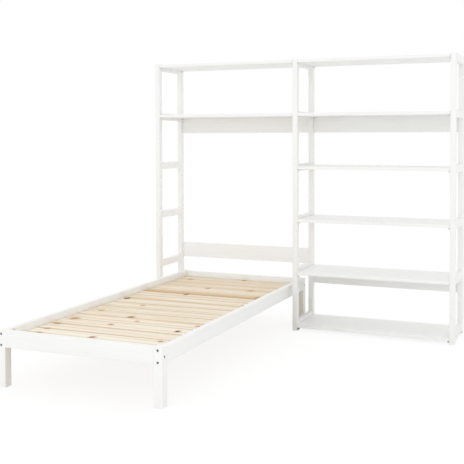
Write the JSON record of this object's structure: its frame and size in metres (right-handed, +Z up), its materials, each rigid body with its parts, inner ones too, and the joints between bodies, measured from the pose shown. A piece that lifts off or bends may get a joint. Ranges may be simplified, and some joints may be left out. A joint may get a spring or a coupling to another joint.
{
  "type": "bookcase headboard bed",
  "caption": "Single bed with a pine slat deck, its head end standing in the open bay of a white ladder-frame bookcase.",
  "frame": {"origin": "on the floor, in the middle of the footprint of the bed and bookcase together", "axes": "+X to the right along the bookcase as seen from the foot of the bed, +Y from the foot of the bed to the back of the bookcase, +Z up"},
  "size_m": [2.099, 2.065, 1.808],
  "materials": {
    "white_painted_pine": "satin white paint on planed pine",
    "raw_pine": "planed, untreated, knotty",
    "beech": "fluted dowel, untreated",
    "black_steel": "black oxide, satin",
    "zinc_steel": "zinc plated",
    "yellow_zinc_steel": "yellow passivated zinc",
    "white_nylon": "moulded, matt"
  },
  "bodies": {
    "root": {"barrel_nuts": "zinc_steel", "board_cam_bolts": "zinc_steel", "board_cams": "zinc_steel", "board_dowels": "beech", "bottom_shelf_pins": "black_steel", "foot_board": "white_painted_pine", "foot_left_leg": "white_painted_pine", "foot_right_leg": "white_painted_pine", "foot_slats": "raw_pine", "frame_bolts": "black_steel", "head_left_leg": "white_painted_pine", "head_rail": "white_painted_pine", "head_right_leg": "white_painted_pine", "head_slats": "raw_pine", "headboard_plank": "white_painted_pine", "insert_nuts": "zinc_steel", "ledger_screws": "yellow_zinc_steel", "left_front_post": "white_painted_pine", "left_rear_post": "white_painted_pine", "left_rung_1": "white_painted_pine", "left_rung_2": "white_painted_pine", "left_rung_3": "white_painted_pine", "left_rung_4": "white_painted_pine", "left_rung_5": "white_painted_pine", "left_rung_6": "white_painted_pine", "left_shelf_5": "white_painted_pine", "left_shelf_6": "white_painted_pine", "left_side_rail": "white_painted_pine", "left_slat_ledger": "raw_pine", "left_upper_back_board": "white_painted_pine", "leg_bolts": "black_steel", "middle_front_post": "white_painted_pine", "middle_rear_post": "white_painted_pine", "middle_rung_1": "white_painted_pine", "middle_rung_2": "white_painted_pine", "middle_rung_3": "white_painted_pine", "middle_rung_4": "white_painted_pine", "middle_rung_5": "white_painted_pine", "middle_rung_6": "white_painted_pine", "right_front_post": "white_painted_pine", "right_lower_back_board": "white_painted_pine", "right_rear_post": "white_painted_pine", "right_rung_1": "white_painted_pine", "right_rung_2": "white_painted_pine", "right_rung_3": "white_painted_pine", "right_rung_4": "white_painted_pine", "right_rung_5": "white_painted_pine", "right_rung_6": "white_painted_pine", "right_shelf_1": "white_painted_pine", "right_shelf_2": "white_painted_pine", "right_shelf_3": "white_painted_pine", "right_shelf_4": "white_painted_pine", "right_shelf_5": "white_painted_pine", "right_shelf_6": "white_painted_pine", "right_side_rail": "white_painted_pine", "right_slat_ledger": "raw_pine", "right_upper_back_board": "white_painted_pine", "shelf_pins": "white_nylon", "slat_screws": "yellow_zinc_steel"}
  },
  "joints": []
}
